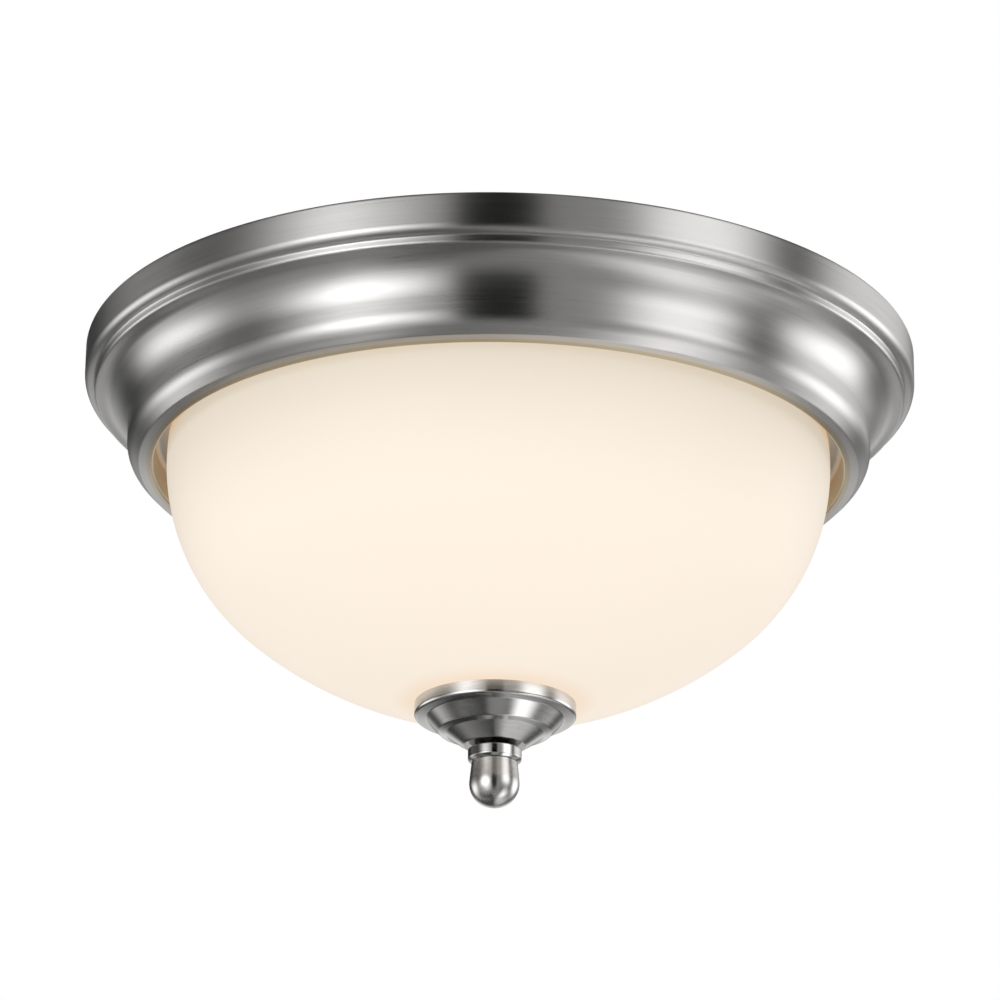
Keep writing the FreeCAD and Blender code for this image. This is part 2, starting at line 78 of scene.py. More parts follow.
def roundedOutline(path, closed=False):
    spots = [Vector(point[:2]) for point in path]
    total = len(path)
    corners = []
    for index, point in enumerate(path):
        rounding = point[2]
        inner = closed or 0 < index < total - 1
        if rounding > 0 and inner:
            after = spots[(index + 1) % total]
            corners.append(cornerPoints(spots[index - 1], spots[index], after, rounding))
        else:
            corners.append([spots[index]])
    points = []
    for index, corner in enumerate(corners):
        points += corner
        if index == total - 1 and not closed:
            break
        start, end = corner[-1], corners[(index + 1) % total][0]
        run = (end - start).length
        if run > 3 * guard:
            points.append(start.lerp(end, guard / run))
            points.append(start.lerp(end, 1 - guard / run))
    return [(point.x, point.y) for point in points]


def sideStep(path, wall):
    # the same path moved to its right-hand side, corners kept concentric
    spots = [Vector(point[:2]) for point in path]
    alongs = [(b - a).normalized() for a, b in zip(spots, spots[1:])]
    sides = [Vector((along.y, -along.x)) * wall for along in alongs]
    moved = [(*(spots[0] + sides[0]), 0)]
    for index in range(1, len(path) - 1):
        a, b = alongs[index - 1], alongs[index]
        start, end = spots[index] + sides[index - 1], spots[index] + sides[index]
        turn = a.cross(b)
        reach = (end - start).cross(b) / turn
        rounding = path[index][2] + (wall if turn > 0 else -wall)
        moved.append((*(start + a * reach), max(rounding, 0)))
    return moved + [(*(spots[-1] + sides[-1]), 0)]


def sheetOutline(path, wall):
    return roundedOutline(path) + roundedOutline(sideStep(path, wall))[::-1]


# Node helpers, for geometry and shader trees alike
def addNode(tree, kind, **settings):
    node = tree.nodes.new(kind)
    for name, value in settings.items():
        setattr(node, name, value)
    return node


def feed(tree, socket, value):
    if isinstance(value, bpy.types.NodeSocket):
        tree.links.new(value, socket)
    else:
        socket.default_value = value


def calc(tree, operation, first, second=0.5):
    node = addNode(tree, "ShaderNodeMath", operation=operation)
    feed(tree, node.inputs[0], first)
    feed(tree, node.inputs[1], second)
    return node.outputs[0]


def spread(tree, value, low, high, toLow=0.0, toHigh=1.0, smooth=False):
    node = addNode(tree, "ShaderNodeMapRange", interpolation_type="SMOOTHSTEP" if smooth else "LINEAR")
    feed(tree, node.inputs["Value"], value)
    feed(tree, node.inputs["From Min"], low)
    feed(tree, node.inputs["From Max"], high)
    feed(tree, node.inputs["To Min"], toLow)
    feed(tree, node.inputs["To Max"], toHigh)
    return node.outputs["Result"]


def splitVector(tree, vector):
    split = addNode(tree, "ShaderNodeSeparateXYZ")
    feed(tree, split.inputs[0], vector)
    return split.outputs


def scaled(tree, vector, amount):
    node = addNode(tree, "ShaderNodeVectorMath", operation="SCALE")
    feed(tree, node.inputs[0], vector)
    feed(tree, node.inputs["Scale"], amount)
    return node.outputs["Vector"]


def newGroup(name, kind, inputs, outputs):
    tree = bpy.data.node_groups.new(name, kind)
    for label, socket in inputs:
        tree.interface.new_socket(label, in_out="INPUT", socket_type="NodeSocket" + socket)
    for label, socket in outputs:
        tree.interface.new_socket(label, in_out="OUTPUT", socket_type="NodeSocket" + socket)
    given = tree.nodes.new("NodeGroupInput").outputs
    result = tree.nodes.new("NodeGroupOutput").inputs
    return tree, given, result


# One tree turns every round piece: the outline is swept round a circle, and a rolled thread can be
# laid on it. The circle's radius only gives the sweep a path, and the outline is set back by as much.
ringRadius = 0.05
weldDistance = 2e-6
axisWidth = 1e-6  # an outline that ends this close to the axis is left open, in millimetres
noThread = {"pitch": 1.0, "depth": 0.0, "low": 0.0, "high": 0.0}


def threadOffset(tree, given):
    # a smooth wave in and out that climbs one pitch a turn
    x, y, z = splitVector(tree, addNode(tree, "GeometryNodeInputPosition").outputs[0])
    turnShare = calc(tree, "DIVIDE", calc(tree, "ARCTAN2", y, x), math.tau)
    phase = calc(tree, "SUBTRACT", calc(tree, "DIVIDE", z, given["Thread Pitch"]), turnShare)
    ramp = calc(tree, "MULTIPLY", calc(tree, "PINGPONG", phase, 0.5), 2.0)
    wave = spread(tree, ramp, 0.0, 1.0, -1.0, 0.0, smooth=True)
    above = calc(tree, "GREATER_THAN", z, given["Thread Low"])
    below = calc(tree, "LESS_THAN", z, given["Thread High"])
    depth = calc(tree, "MULTIPLY", calc(tree, "MULTIPLY", above, below), given["Thread Depth"])
    flat = addNode(tree, "ShaderNodeCombineXYZ")
    feed(tree, flat.inputs["X"], x)
    feed(tree, flat.inputs["Y"], y)
    outward = addNode(tree, "ShaderNodeVectorMath", operation="NORMALIZE")
    feed(tree, outward.inputs[0], flat.outputs[0])
    return scaled(tree, outward.outputs["Vector"], calc(tree, "MULTIPLY", wave, depth))


def finishTree(tree, shape, given, result):
    # every tree ends smooth, as real geometry and with its material
    soft = addNode(tree, "GeometryNodeSetShadeSmooth")
    feed(tree, soft.inputs["Geometry"], shape)
    real = addNode(tree, "GeometryNodeRealizeInstances")
    feed(tree, real.inputs["Geometry"], soft.outputs["Geometry"])
    finish = addNode(tree, "GeometryNodeSetMaterial")
    feed(tree, finish.inputs["Geometry"], real.outputs["Geometry"])
    feed(tree, finish.inputs["Material"], given["Finish"])
    feed(tree, result["Piece"], finish.outputs["Geometry"])


def turningTree():
    tree, given, result = newGroup(
        "turnedPiece", "GeometryNodeTree",
        [("Outline", "Geometry"), ("Segments", "Int"), ("Path Radius", "Float"), ("Thread Pitch", "Float"),
         ("Thread Depth", "Float"), ("Thread Low", "Float"), ("Thread High", "Float"), ("Finish", "Material")],
        [("Piece", "Geometry")],
    )
    toCurve = addNode(tree, "GeometryNodeMeshToCurve")
    feed(tree, toCurve.inputs["Mesh"], given["Outline"])
    circle = addNode(tree, "GeometryNodeCurvePrimitiveCircle")
    feed(tree, circle.inputs["Resolution"], given["Segments"])
    feed(tree, circle.inputs["Radius"], given["Path Radius"])
    upright = addNode(tree, "GeometryNodeSetCurveNormal", mode="Z_UP")
    feed(tree, upright.inputs["Curve"], circle.outputs["Curve"])
    sweep = addNode(tree, "GeometryNodeCurveToMesh")
    feed(tree, sweep.inputs["Curve"], upright.outputs["Curve"])
    feed(tree, sweep.inputs["Profile Curve"], toCurve.outputs["Curve"])
    weld = addNode(tree, "GeometryNodeMergeByDistance")
    feed(tree, weld.inputs["Geometry"], sweep.outputs["Mesh"])
    feed(tree, weld.inputs["Distance"], weldDistance)
    cut = addNode(tree, "GeometryNodeSetPosition")
    feed(tree, cut.inputs["Geometry"], weld.outputs["Geometry"])
    feed(tree, cut.inputs["Offset"], threadOffset(tree, given))
    finishTree(tree, cut.outputs["Geometry"], given, result)
    return tree


def setSockets(modifier, tree, values):
    for socket in tree.interface.items_tree:
        if socket.name in values:
            modifier[socket.identifier] = values[socket.name]


def settled(piece, name):
    # the evaluated object as a plain mesh with no modifiers
    graph = bpy.context.evaluated_depsgraph_get()
    mesh = bpy.data.meshes.new_from_object(piece.evaluated_get(graph))
    piece.modifiers.clear()
    piece.data = mesh
    mesh.name = name
    return mesh


boreSegments = 64


def bored(piece, holes):
    # round holes straight down through a piece: (radius, x, y, low, high) in millimetres
    work = bmesh.new()
    for radius, x, y, low, high in holes:
        place = Matrix.Translation(Vector((x, y, (low + high) / 2)) * mm)
        bmesh.ops.create_cone(work, cap_ends=True, segments=boreSegments, radius1=radius * mm,
                              radius2=radius * mm, depth=(high - low) * mm, matrix=place)
    mesh = bpy.data.meshes.new("borers")
    work.to_mesh(mesh)
    work.free()
    cutter = bpy.data.objects.new("borers", mesh)
    scene.collection.objects.link(cutter)
    cutter.hide_render = True
    cut = piece.modifiers.new("holes", "BOOLEAN")
    cut.solver = "EXACT"
    cut.object = cutter
    return cutter


def turnedPiece(name, points, finish, segments=128, thread=None, at=None, holes=None, wool=None,
                smoothTo=38):
    # smoothTo is the angle in degrees past which an edge is shaded sharp
    outline = bpy.data.meshes.new(name)
    spots = [(radius * mm - ringRadius, -height * mm, 0) for radius, height in points]
    onAxis = min(abs(points[0][0]), abs(points[-1][0])) < axisWidth
    edges = [(i, i + 1) for i in range(len(spots) - 1)]
    if not onAxis:
        edges.append((len(spots) - 1, 0))
    outline.from_pydata(spots, edges, [])
    piece = bpy.data.objects.new(name, outline)
    scene.collection.objects.link(piece)
    turning = piece.modifiers.new("turning", "NODES")
    turning.node_group = turnTree
    thread = thread or noThread
    setSockets(turning, turnTree, {
        "Segments": segments,
        "Path Radius": ringRadius,
        "Thread Pitch": thread["pitch"] * mm,
        "Thread Depth": thread["depth"] * mm,
        "Thread Low": thread["low"] * mm,
        "Thread High": thread["high"] * mm,
        "Finish": finish,
    })
    cutter = bored(piece, holes) if holes else None
    if wool:
        woolly(piece, wool, finish)
    mesh = settled(piece, name)
    if cutter:
        bpy.data.objects.remove(cutter)
    faceOutwards(mesh)
    if at is not None:
        mesh.transform(at)
    mesh.set_sharp_from_angle(angle=math.radians(smoothTo))
    return piece


def faceOutwards(mesh):
    work = bmesh.new()
    work.from_mesh(mesh)
    bmesh.ops.recalc_face_normals(work, faces=work.faces)
    work.to_mesh(mesh)
    work.free()


# A second tree roughens soft pieces: each point sinks a little by two scales of noise.
def woolTree():
    tree, given, result = newGroup(
        "woollySurface", "GeometryNodeTree",
        [("Piece", "Geometry"), ("Depth", "Float"), ("Lumps", "Float"), ("Fibres", "Float"),
         ("Finish", "Material")],
        [("Piece", "Geometry")],
    )
    ripples = []
    for scale in ("Lumps", "Fibres"):
        ripple = addNode(tree, "ShaderNodeTexNoise")
        feed(tree, ripple.inputs["Scale"], given[scale])
        ripples.append(ripple.outputs["Fac"])
    sink = calc(tree, "MULTIPLY", calc(tree, "ADD", *ripples), given["Depth"])
    normal = addNode(tree, "GeometryNodeInputNormal").outputs[0]
    move = addNode(tree, "GeometryNodeSetPosition")
    feed(tree, move.inputs["Geometry"], given["Piece"])
    feed(tree, move.inputs["Offset"], scaled(tree, normal, sink))
    finishTree(tree, move.outputs["Geometry"], given, result)
    return tree


def woolly(piece, look, finish):
    even = piece.modifiers.new("even", "REMESH")
    even.mode = "VOXEL"
    even.voxel_size = look["grid"] * mm
    rough = piece.modifiers.new("wool", "NODES")
    rough.node_group = softTree
    setSockets(rough, softTree, {
        "Depth": -look["depth"] * mm,
        "Lumps": 1 / (look["lumps"] * mm),
        "Fibres": 1 / (look["fibres"] * mm),
        "Finish": finish,
    })


turnTree = turningTree()
softTree = woolTree()
print("turning and wool trees ready")


# Shader helpers
noiseRange = (0.3, 0.7)  # where nearly all of a noise's values lie
leastRadius = 1e-5  # keeps a division by the radius off zero on the axis


def noise(tree, vector, scale, detail=2.0, roughness=0.5, fourth=None):
    node = addNode(tree, "ShaderNodeTexNoise", noise_dimensions="4D" if fourth is not None else "3D")
    feed(tree, node.inputs["Vector"], vector)
    feed(tree, node.inputs["Scale"], scale)
    node.inputs["Detail"].default_value = detail
    node.inputs["Roughness"].default_value = roughness
    if fourth is not None:
        feed(tree, node.inputs["W"], fourth)
    return node.outputs["Fac"]


def tint(tree, share, first, second, blend="MIX"):
    node = addNode(tree, "ShaderNodeMix", data_type="RGBA", blend_type=blend)
    feed(tree, node.inputs[0], share)
    feed(tree, node.inputs[6], first)
    feed(tree, node.inputs[7], second)
    return node.outputs[2]


def objectPlace(tree):
    return addNode(tree, "ShaderNodeTexCoord").outputs["Object"]


def splitPlace(tree):
    return splitVector(tree, objectPlace(tree))


def axisDistance(tree, x, y):
    # how far a point is from the light's axis
    square = calc(tree, "ADD", calc(tree, "MULTIPLY", x, x), calc(tree, "MULTIPLY", y, y))
    return calc(tree, "SQRT", square)


def weighted(tree, first, second, share):
    # the first value's share added to the rest of the second
    return calc(tree, "ADD", calc(tree, "MULTIPLY", first, share), calc(tree, "MULTIPLY", second, 1 - share))


# Fine lines that run round the axis, as a brushing belt leaves them on a spinning piece
def brushGroup():
    tree, given, result = newGroup(
        "turnedBrush", "ShaderNodeTree",
        [("Around", "Float"), ("Across", "Float")],
        [("Streaks", "Float"), ("Fine", "Float")],
    )
    x, y, z = splitPlace(tree)
    radius = calc(tree, "MAXIMUM", axisDistance(tree, x, y), leastRadius)
    place = addNode(tree, "ShaderNodeCombineXYZ")
    feed(tree, place.inputs["X"], calc(tree, "MULTIPLY", calc(tree, "DIVIDE", x, radius), given["Around"]))
    feed(tree, place.inputs["Y"], calc(tree, "MULTIPLY", calc(tree, "DIVIDE", y, radius), given["Around"]))
    feed(tree, place.inputs["Z"], calc(tree, "MULTIPLY", radius, given["Across"]))
    height = calc(tree, "MULTIPLY", z, given["Across"])
    broad = noise(tree, place.outputs[0], scale=1.0, roughness=0.6, fourth=height)
    fine = noise(tree, place.outputs[0], scale=3.4, roughness=0.7, fourth=height)
    feed(tree, result["Streaks"], spread(tree, broad, *noiseRange))
    feed(tree, result["Fine"], spread(tree, fine, *noiseRange))
    return tree


# Slow cloudy change over a surface: handling, polish and plating that are never quite even
def cloudGroup():
    tree, given, result = newGroup(
        "unevenFinish", "ShaderNodeTree",
        [("Scale", "Float"), ("Low", "Float"), ("High", "Float")],
        [("Value", "Float"), ("Cloud", "Float")],
    )
    cloud = noise(tree, objectPlace(tree), given["Scale"], detail=4.0, roughness=0.55)
    even = spread(tree, cloud, *noiseRange)
    feed(tree, result["Cloud"], even)
    feed(tree, result["Value"], spread(tree, even, 0.0, 1.0, given["Low"], given["High"]))
    return tree


# Small even grain for fired, moulded and cast surfaces
def grainGroup():
    tree, given, result = newGroup(
        "surfaceGrain", "ShaderNodeTree", [("Scale", "Float")], [("Grain", "Float")])
    small = noise(tree, objectPlace(tree), given["Scale"], detail=3.0, roughness=0.6)
    feed(tree, result["Grain"], small)
    return tree


# Tangled fibres: thin dark gaps between two sets of stretched, wandering strands
fibreLay = {
    "wander": 0.2,  # scale of the wandering, as a share of the strands' own scale
    "bend": 0.02,
    "tilt": (0.3, 0.2),
    "turns": (0.5, 2.1),
    "stretch": (1.0, 0.08, 0.6),
    "gaps": (0.35, 0.75),
}


def fibreGroup():
    lay = fibreLay
    tree, given, result = newGroup(
        "tangledFibres", "ShaderNodeTree", [("Scale", "Float")], [("Fibres", "Float")])
    place = objectPlace(tree)
    wander = addNode(tree, "ShaderNodeTexNoise")
    feed(tree, wander.inputs["Vector"], place)
    feed(tree, wander.inputs["Scale"], calc(tree, "MULTIPLY", given["Scale"], lay["wander"]))
    bend = addNode(tree, "ShaderNodeVectorMath", operation="MULTIPLY_ADD")
    feed(tree, bend.inputs[0], wander.outputs["Color"])
    feed(tree, bend.inputs[1], (lay["bend"],) * 3)
    feed(tree, bend.inputs[2], place)
    sets = []
    for turn in lay["turns"]:
        laid = addNode(tree, "ShaderNodeMapping")
        feed(tree, laid.inputs["Vector"], bend.outputs["Vector"])
        feed(tree, laid.inputs["Rotation"], (*lay["tilt"], turn))
        feed(tree, laid.inputs["Scale"], lay["stretch"])
        sets.append(noise(tree, laid.outputs["Vector"], given["Scale"], roughness=0.6))
    feed(tree, result["Fibres"], spread(tree, calc(tree, "MAXIMUM", *sets), *lay["gaps"]))
    return tree


brush = brushGroup()
clouds = cloudGroup()
grain = grainGroup()
fibres = fibreGroup()


def useGroup(tree, group, **values):
    node = addNode(tree, "ShaderNodeGroup", node_tree=group)
    for name, value in values.items():
        feed(tree, node.inputs[name], value)
    return node.outputs


def newFinish(name, **plain):
    # a material with its shader, and the plain values set on the shader's own sockets
    finish = bpy.data.materials.new(name)
    finish.use_nodes = True
    tree = finish.node_tree
    shader = tree.nodes["Principled BSDF"]
    for label, value in plain.items():
        shader.inputs[label.replace("_", " ")].default_value = value
    return finish, tree, shader


def bumped(tree, shader, height, strength, distance):
    node = addNode(tree, "ShaderNodeBump")
    node.inputs["Strength"].default_value = strength
    node.inputs["Distance"].default_value = distance
    feed(tree, node.inputs["Height"], height)
    feed(tree, shader.inputs["Normal"], node.outputs["Normal"])


def unevenRoughness(tree, shader, look):
    # roughness that clouds between its two ends; gives the cloud back for the colour
    low, high = look["roughness"]
    uneven = useGroup(tree, clouds, Scale=look["cloud"], Low=low, High=high)
    feed(tree, shader.inputs["Roughness"], uneven["Value"])
    return uneven["Cloud"]


def grainBump(tree, shader, look):
    relief = useGroup(tree, grain, Scale=look["grain"])["Grain"]
    bumped(tree, shader, relief, look["bump"], look["depth"])
    return relief


# Nickel in four polishes. Radii, heights and depths in the looks are in metres.
nickelLook = {
    "colour": (0.66, 0.652, 0.64, 1),
    "darker": (0.58, 0.572, 0.56, 1),
    "roughness": (0.28, 0.35),
    "unevenness": 0.03,
    "cloud": 14.0,
    "anisotropy": 0.95,
    "around": 3.0,
    "across": 900.0,
    "streakShare": 0.6,
    "bump": 0.07,
    "depth": 0.00004,
}
satinLook = {**nickelLook, "roughness": (0.16, 0.22), "anisotropy": 0.88}
knobLook = {**nickelLook, "roughness": (0.25, 0.31), "anisotropy": 0.8}
polishedLook = {**nickelLook, "roughness": (0.13, 0.2), "anisotropy": 0.6}

# painted marks start inside a radius and below a height: a painted warm reflection of the glowing glass on the
# lip's return wall, and a painted shade in the collar's neck
paintedLipReflection = {
    "radius": 0.1389,
    "height": -0.038,
    "edge": 0.0007,
    "amount": 0.9,
    "colour": (0.6, 0.51, 0.36, 1),
}
# painted shade: the collar's neck is painted near black where the cap's shadow falls
paintedNeckShade = {
    "radius": 0.0079,
    "height": 0.0,
    "edge": 0.001,
    "amount": 1.0,
    "colour": (0.015, 0.014, 0.013, 1),
}


# share of a painted mark (painted reflection or painted shade), by radius and height
def paintedMarkShare(tree, paintedMark):
    x, y, z = splitPlace(tree)
    radius = axisDistance(tree, x, y)
    inside = spread(tree, radius, paintedMark["radius"] + paintedMark["edge"], paintedMark["radius"], smooth=True)
    below = spread(tree, z, paintedMark["height"] + paintedMark["edge"], paintedMark["height"], smooth=True)
    return calc(tree, "MULTIPLY", calc(tree, "MULTIPLY", inside, below), paintedMark["amount"])


def turnedNickel(name, look, paintedMark=None):
    finish, tree, shader = newFinish(
        name, Metallic=1.0, Anisotropic=look["anisotropy"], Anisotropic_Rotation=0.25)
    lines = useGroup(tree, brush, Around=look["around"], Across=look["across"])
    uneven = useGroup(tree, clouds, Scale=look["cloud"], Low=-look["unevenness"], High=look["unevenness"])
    both = weighted(tree, lines["Streaks"], lines["Fine"], look["streakShare"])
    colour = tint(tree, both, look["darker"], look["colour"])
    # a painted reflection or painted shade is mixed into the base colour here
    if paintedMark:
        colour = tint(tree, paintedMarkShare(tree, paintedMark), colour, paintedMark["colour"])
    feed(tree, shader.inputs["Base Color"], colour)
    roughness = spread(tree, both, 0.0, 1.0, *look["roughness"])
    feed(tree, shader.inputs["Roughness"], calc(tree, "ADD", roughness, uneven["Value"]))
    tangent = addNode(tree, "ShaderNodeTangent", direction_type="RADIAL", axis="Z")
    feed(tree, shader.inputs["Tangent"], tangent.outputs[0])
    bumped(tree, shader, both, look["bump"], look["depth"])
    return finish


# Opal glass with the lamps' light through it painted on as an even glow: painted shade makes it dimmer towards
# its rim and edges and darker and warmer above the lip, and a painted warm halo lies round the cap
opalLook = {
    "shell": (0.2, 0.195, 0.19, 1),
    "body": (0.89, 0.785, 0.66, 1),
    "rim": (0.66, 0.58, 0.465, 1),
    "paintedLipShade": (0.72, 0.5, 0.3, 1),
    "foot": (0.87, 0.7, 0.535, 1),
    "rimHeights": (-0.1, -0.046),
    "rimCurve": 1.6,
    "paintedLipShadeHeights": (-0.0445, -0.04),
    "footHeights": (-0.12, -0.135),
    "footRadii": (0.042, 0.03),
    "edgeBlend": 0.25,
    "edgeLoss": 0.19,
    "cloud": 9.0,
    "roughness": (0.5, 0.6),
    "grain": 1400.0,
    "bump": 0.04,
    "depth": 0.00004,
}


def opalGlass():
    look = opalLook
    finish, tree, shader = newFinish(
        "opalGlass", Base_Color=look["shell"], IOR=1.5, Specular_IOR_Level=0.3, Emission_Strength=1.0)
    x, y, z = splitPlace(tree)
    # painted shade: the glow dims towards the rim, and above the lip it turns a darker tan
    rim = calc(tree, "POWER", spread(tree, z, *look["rimHeights"]), look["rimCurve"])
    paintedLipShade = spread(tree, z, *look["paintedLipShadeHeights"], smooth=True)
    # painted light: a warm halo on the glass round the cap at the bottom of the bowl
    near = spread(tree, axisDistance(tree, x, y), *look["footRadii"], smooth=True)
    low = spread(tree, z, *look["footHeights"], smooth=True)
    colour = tint(tree, rim, look["body"], look["rim"])
    colour = tint(tree, paintedLipShade, colour, look["paintedLipShade"])
    colour = tint(tree, calc(tree, "MULTIPLY", near, low), colour, look["foot"])
    # painted shade: the glow dims where the glass turns away from the view
    facing = addNode(tree, "ShaderNodeLayerWeight")
    facing.inputs["Blend"].default_value = look["edgeBlend"]
    loss = calc(tree, "MULTIPLY", facing.outputs["Facing"], look["edgeLoss"])
    kept = calc(tree, "SUBTRACT", 1.0, loss)
    # the glow is painted light: the lamps' light through the glass, set as emission
    feed(tree, shader.inputs["Emission Color"], tint(tree, 1.0, colour, kept, "MULTIPLY"))
    unevenRoughness(tree, shader, look)
    grainBump(tree, shader, look)
    return finish


# Every other surface: two tones clouded together, grain or fibres in the bump, roughness that is never even
surfaceLooks = {
    "zinc_steel": {
        "name": "zincSteel", "tones": ((0.5, 0.51, 0.5), (0.64, 0.65, 0.63)), "cloud": 90.0,
        "roughness": (0.3, 0.46), "grain": 2600.0, "bump": 0.12, "plain": {"Metallic": 1.0},
    },
    "green_screw": {
        "name": "greenScrew", "tones": ((0.03, 0.22, 0.07), (0.06, 0.33, 0.12)), "cloud": 260.0,
        "roughness": (0.28, 0.42), "grain": 1800.0, "bump": 0.1, "plain": {"Coat_Weight": 0.3},
    },
    "black_nylon": {
        "name": "blackNylon", "tones": ((0.016, 0.016, 0.016), (0.034, 0.034, 0.035)), "cloud": 200.0,
        "roughness": (0.42, 0.58), "grain": 3200.0, "bump": 0.25, "plain": {},
    },
    "brass": {
        "name": "stampedBrass", "tones": ((0.62, 0.43, 0.17), (0.8, 0.62, 0.3)), "cloud": 120.0,
        "roughness": (0.22, 0.38), "grain": 2200.0, "bump": 0.1, "plain": {"Metallic": 1.0},
    },
    "porcelain": {
        "name": "glazedPorcelain", "tones": ((0.84, 0.82, 0.76), (0.92, 0.91, 0.87)), "cloud": 70.0,
        "roughness": (0.24, 0.36), "grain": 900.0, "bump": 0.08,
        "plain": {"Coat_Weight": 0.6, "Coat_Roughness": 0.06},
    },
    "lamp_aluminium": {
        "name": "rolledAluminium", "tones": ((0.7, 0.7, 0.7), (0.84, 0.84, 0.84)), "cloud": 150.0,
        "roughness": (0.2, 0.34), "grain": 2400.0, "bump": 0.1, "plain": {"Metallic": 1.0},
    },
    "black_glass": {
        "name": "blackGlass", "tones": ((0.008, 0.008, 0.01), (0.02, 0.02, 0.024)), "cloud": 180.0,
        "roughness": (0.06, 0.14), "grain": 900.0, "bump": 0.05, "plain": {"IOR": 1.52},
    },
    "solder": {
        "name": "dullSolder", "tones": ((0.42, 0.42, 0.43), (0.6, 0.6, 0.61)), "cloud": 400.0,
        "roughness": (0.34, 0.5), "grain": 1500.0, "bump": 0.3, "plain": {"Metallic": 1.0},
    },
    "clear_rubber": {
        "name": "clearRubber", "tones": ((0.7, 0.69, 0.64), (0.82, 0.81, 0.77)), "cloud": 140.0,
        "roughness": (0.36, 0.5), "grain": 1600.0, "bump": 0.12,
        "plain": {"Transmission_Weight": 0.35, "IOR": 1.45},
    },
    "heat_pad": {
        "name": "glassFibreMat", "tones": ((0.62, 0.55, 0.34), (0.9, 0.85, 0.66)), "cloud": 60.0,
        "roughness": (0.86, 0.97), "fibres": 420.0, "bump": 0.9, "plain": {"Sheen_Weight": 0.3},
    },
    "white_felt": {
        "name": "pressedFelt", "tones": ((0.62, 0.61, 0.57), (0.86, 0.85, 0.81)), "cloud": 300.0,
        "roughness": (0.88, 0.98), "fibres": 1500.0, "bump": 0.7, "plain": {"Sheen_Weight": 0.4},
    },
}


cloudShare = 0.55  # how much of the two tones' mix follows the clouds, the rest the relief
reliefDepth = 0.0002


def surfaceFinish(look):
    finish, tree, shader = newFinish(look["name"], **look["plain"])
    cloud = unevenRoughness(tree, shader, look)
    if "fibres" in look:
        relief = useGroup(tree, fibres, Scale=look["fibres"])["Fibres"]
        bumped(tree, shader, relief, look["bump"], reliefDepth)
    else:
        relief = grainBump(tree, shader, {**look, "depth": reliefDepth})
    first, second = (tone + (1,) for tone in look["tones"])
    share = weighted(tree, cloud, relief, cloudShare)
    feed(tree, shader.inputs["Base Color"], tint(tree, share, first, second))
    return finish


# Frosted lamp glass that glows evenly, and dims and warms towards its neck
lampLook = {
    "shell": (0.8, 0.79, 0.76, 1),
    "lit": (1.0, 0.86, 0.68, 1),
    "neck": (0.75, 0.5, 0.28, 1),
    "glow": 1.1,
    "neckAt": 0.021,  # how far from the light's middle plane the neck starts
    "neckRun": 0.03,
    "cloud": 40.0,
    "roughness": (0.42, 0.55),
    "grain": 2400.0,
    "bump": 0.15,
    "depth": 0.0001,
}


def lampGlass():
    look = lampLook
    finish, tree, shader = newFinish(
        "frostedGlass", Base_Color=look["shell"], IOR=1.5, Emission_Strength=look["glow"])
    x, y, z = splitPlace(tree)
    out = calc(tree, "MULTIPLY", calc(tree, "MULTIPLY", x, calc(tree, "SIGN", y)), -1.0)
    start, end = look["neckAt"] - look["neckRun"], look["neckAt"] + look["neckRun"]
    neck = spread(tree, out, start, end, smooth=True)
    feed(tree, shader.inputs["Emission Color"], tint(tree, neck, look["lit"], look["neck"]))
    unevenRoughness(tree, shader, look)
    grainBump(tree, shader, look)
    return finish


finishes = {slot: surfaceFinish(look) for slot, look in surfaceLooks.items()}
# the pan's nickel carries a painted warm reflection of the glass on its lip's return wall
finishes["brushed_nickel"] = turnedNickel("brushedNickel", nickelLook, paintedLipReflection)
# the collar's polished nickel carries the painted shade in its neck
finishes["polished_nickel"] = turnedNickel("polishedNickel", polishedLook, paintedNeckShade)
satinNickel = turnedNickel("satinNickel", satinLook)
knobNickel = turnedNickel("knobNickel", knobLook)
finishes["opal_glass"] = opalGlass()
finishes["frosted_glass"] = lampGlass()
print("finishes ready:", len(finishes))


# The spun pan: one sheet with rim, band, bead, cove, a rolled lip, return wall, deck and its rib
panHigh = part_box("ceiling_pan")[1]
panRadius = panHigh.x / mm
wireSpot = (-74, 38)  # one of each pair of holes through the deck; the other is across the axis
screwSpot = (-36, 24)
panSheet = {
    "wall": 0.8,
    "segments": 256,
    "rimWidth": 3.2,
    "bandFoot": -15.2,
    "returnRadius": 136.6,
    "deck": -36,
    "ribTop": -34.2,
    "rodHole": 5.25,
    "wireHole": {"radius": 6, "at": wireSpot, "from": -37, "to": -34},
    "screwHole": {"radius": 1.6, "at": screwSpot, "from": -37, "to": -34},
}


def panPath():
    g = panSheet
    rimAndBead = [
        (panRadius - g["rimWidth"], 0, 0), (panRadius, 0, 1.2), (panRadius, g["bandFoot"], 3.0),
        (161, g["bandFoot"], 0.9), (161, -18.7, 1.2), (155.9, -18.8, 6),
    ]
    coveAndLip = [
        (147.2, -24.9, 16.5), (147.2, -42.4, 7.6), (142.3, -47.3, 1.2), (g["returnRadius"], -48.6, 0.75),
    ]
    deckAndRib = [
        (g["returnRadius"], g["deck"], 2.5), (122, g["deck"], 1.6), (119.8, g["ribTop"], 1.6),
        (114.2, g["ribTop"], 1.6), (112, g["deck"], 1.6), (g["rodHole"], g["deck"], 0),
    ]
    return rimAndBead + coveAndLip + deckAndRib


def holePairs(*holes):
    # each hole and its opposite across the axis, as bored() takes them
    pairs = []
    for hole in holes:
        x, y = hole["at"]
        for side in (1, -1):
            pairs.append((hole["radius"], side * x, side * y, hole["from"], hole["to"]))
    return pairs


def fit(piece, body, slot, *replaced):
    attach(piece, body)
    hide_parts(*replaced)


